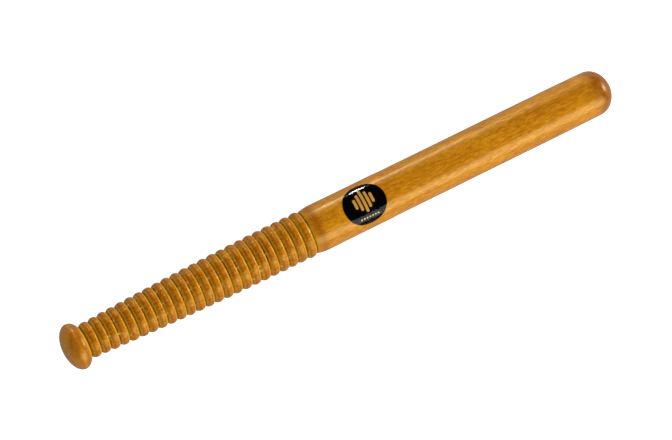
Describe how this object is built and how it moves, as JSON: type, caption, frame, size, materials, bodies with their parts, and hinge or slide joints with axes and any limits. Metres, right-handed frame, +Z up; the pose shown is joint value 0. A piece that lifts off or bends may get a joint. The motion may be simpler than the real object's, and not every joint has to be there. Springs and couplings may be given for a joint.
{
  "type": "guiro stick",
  "caption": "Turned hardwood guiro stick with a mushroom knob, a ribbed tapering grip to scrape, a smooth round-ended barrel and a round wrapped label.",
  "frame": {"origin": "middle of the box round the stick, on the surface that it lies on", "axes": "+X along the stick from the knob to the round end, +Z up from the surface through the label"},
  "size_m": [0.317, 0.025, 0.0252],
  "materials": {
    "lacquered_wood": "golden brown hardwood under a clear gloss lacquer",
    "label_adhesive": "translucent pressure-sensitive adhesive",
    "label_black": "black printed film",
    "label_gold": "satin gold foil",
    "label_clear": "clear glossy laminate"
  },
  "bodies": {
    "root": {"stick": "lacquered_wood", "label_adhesive": "label_adhesive", "label_film": "label_black", "label_emblem": "label_gold", "label_dots": "label_gold", "label_laminate": "label_clear"}
  },
  "joints": []
}
